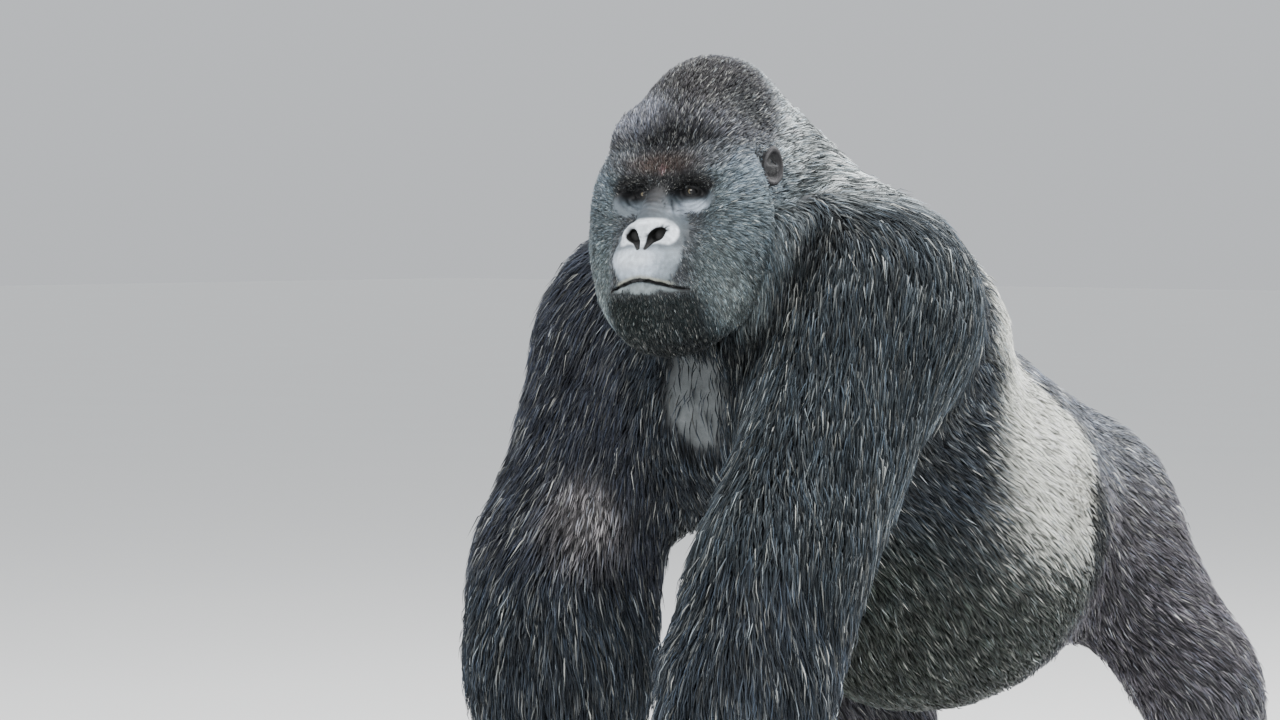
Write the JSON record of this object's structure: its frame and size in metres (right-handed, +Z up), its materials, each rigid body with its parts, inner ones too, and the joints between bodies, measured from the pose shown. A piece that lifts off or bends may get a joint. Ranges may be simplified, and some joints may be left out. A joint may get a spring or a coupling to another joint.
{
  "type": "silverback mountain gorilla",
  "caption": "Life-size male mountain gorilla standing on knuckles and soles, head turned a little to its left, with black coat, silver back and bare grey face.",
  "frame": {"origin": "on the floor, under the middle of the animal's bounding box", "axes": "+Z up, -Y the way the animal walks, +X its left side"},
  "size_m": [0.8328, 1.3374, 1.2457],
  "materials": {
    "black_coat": "long, slightly shiny blue-black hair",
    "silver_coat": "short silver-white hair",
    "grey_coat": "short grey-brown hair flecked with light tips",
    "bare_skin": "bare, finely wrinkled black skin",
    "eye": "wet dark brown eye",
    "nail": "dark horn"
  },
  "bodies": {
    "root": {"head": "black_coat", "eye_left": "eye", "ear_left": "bare_skin", "eye_right": "eye", "ear_right": "bare_skin", "neck": "black_coat", "chest": "black_coat", "belly": "silver_coat", "rump": "grey_coat", "upper_arm_left": "black_coat", "forearm_left": "black_coat", "thigh_left": "grey_coat", "shank_left": "black_coat", "hand_left": "bare_skin", "index_finger_left": "bare_skin", "index_nail_left": "nail", "middle_finger_left": "bare_skin", "middle_nail_left": "nail", "ring_finger_left": "bare_skin", "ring_nail_left": "nail", "little_finger_left": "bare_skin", "little_nail_left": "nail", "thumb_left": "bare_skin", "thumb_nail_left": "nail", "foot_left": "bare_skin", "big_toe_left": "bare_skin", "big_toe_nail_left": "nail", "toe_nail_1_left": "nail", "toe_nail_2_left": "nail", "toe_nail_3_left": "nail", "toe_nail_4_left": "nail", "upper_arm_right": "black_coat", "forearm_right": "black_coat", "thigh_right": "grey_coat", "shank_right": "black_coat", "hand_right": "bare_skin", "index_finger_right": "bare_skin", "index_nail_right": "nail", "middle_finger_right": "bare_skin", "middle_nail_right": "nail", "ring_finger_right": "bare_skin", "ring_nail_right": "nail", "little_finger_right": "bare_skin", "little_nail_right": "nail", "thumb_right": "bare_skin", "thumb_nail_right": "nail", "foot_right": "bare_skin", "big_toe_right": "bare_skin", "big_toe_nail_right": "nail", "toe_nail_1_right": "nail", "toe_nail_2_right": "nail", "toe_nail_3_right": "nail", "toe_nail_4_right": "nail"}
  },
  "joints": []
}
